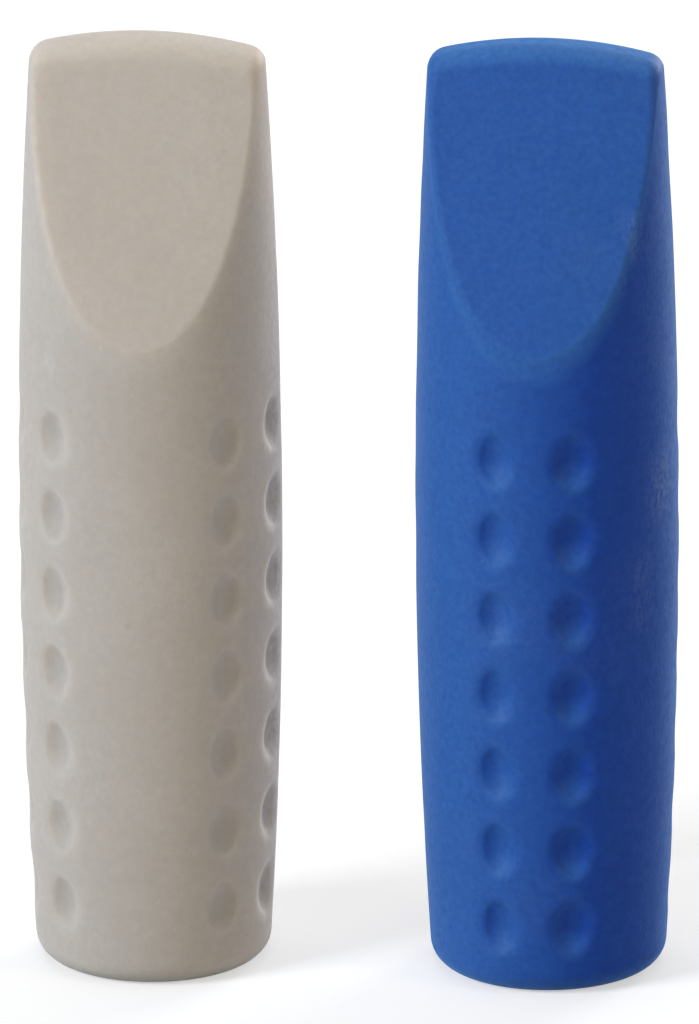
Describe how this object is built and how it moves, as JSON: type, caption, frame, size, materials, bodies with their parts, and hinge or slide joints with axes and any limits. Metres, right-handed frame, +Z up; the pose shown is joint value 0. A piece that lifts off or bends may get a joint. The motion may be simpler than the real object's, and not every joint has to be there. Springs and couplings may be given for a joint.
{
  "type": "pencil eraser toppers",
  "caption": "Moulded rubber eraser caps with a blunt chisel tip, a bowed barrel with columns of grip dimples and a blind socket that pushes onto a pencil's end.",
  "frame": {"origin": "middle of the pair's footprint, on the plane that both rims stand on", "axes": "+Z up along both caps, from the socket to the chisel tip; +X from the grey cap to the blue one; -Y towards the viewer"},
  "size_m": [0.03, 0.0134, 0.044],
  "materials": {
    "grey_rubber": "matte",
    "blue_rubber": "matte"
  },
  "bodies": {
    "grey_topper": {"grey_topper": "grey_rubber"},
    "blue_topper": {"blue_topper": "blue_rubber"}
  },
  "joints": [
    {"name": "blue_topper_lift", "type": "slide", "parent": "grey_topper", "child": "blue_topper", "axis": [0, 0, 1], "range_m": [0, 0.06]}
  ]
}
